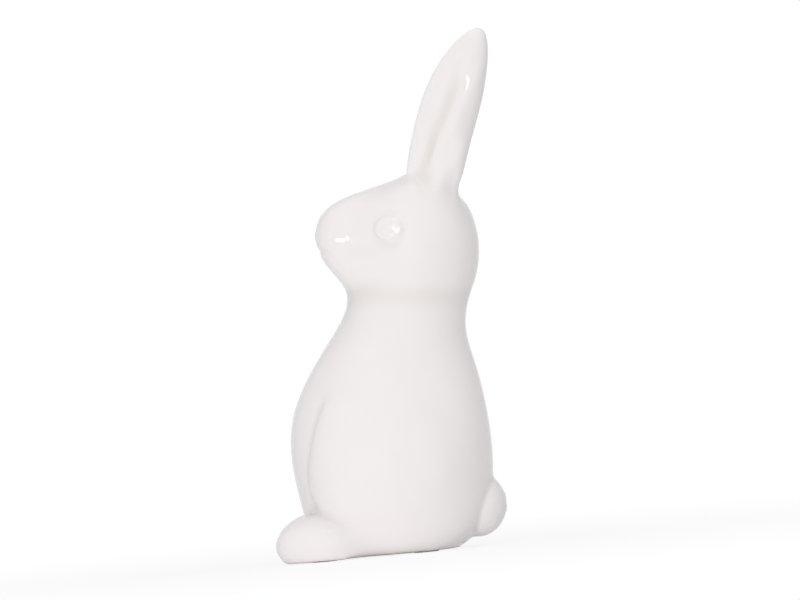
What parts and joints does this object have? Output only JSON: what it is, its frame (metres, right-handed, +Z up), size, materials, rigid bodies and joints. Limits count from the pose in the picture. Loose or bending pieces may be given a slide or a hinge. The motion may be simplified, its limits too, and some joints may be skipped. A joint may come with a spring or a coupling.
{
  "type": "rabbit figurine",
  "caption": "Sitting rabbit figurine in white glazed ceramic, hollow cast, with upright grooved ears and a flat padded base to stand on a shelf.",
  "frame": {"origin": "on the table plane under the middle of the figure's bounding box", "axes": "+Z up along the figure's height; the rabbit faces -Y; its left side is +X"},
  "size_m": [0.0708, 0.0996, 0.2007],
  "materials": {
    "glaze": "gloss white glaze",
    "felt": "pressed felt"
  },
  "bodies": {
    "root": {"torso": "glaze", "head": "glaze", "left_ear": "glaze", "right_ear": "glaze", "left_haunch": "glaze", "right_haunch": "glaze", "left_foot": "glaze", "right_foot": "glaze", "tail": "glaze", "left_eye": "glaze", "right_eye": "glaze", "felt_pads": "felt"}
  },
  "joints": []
}
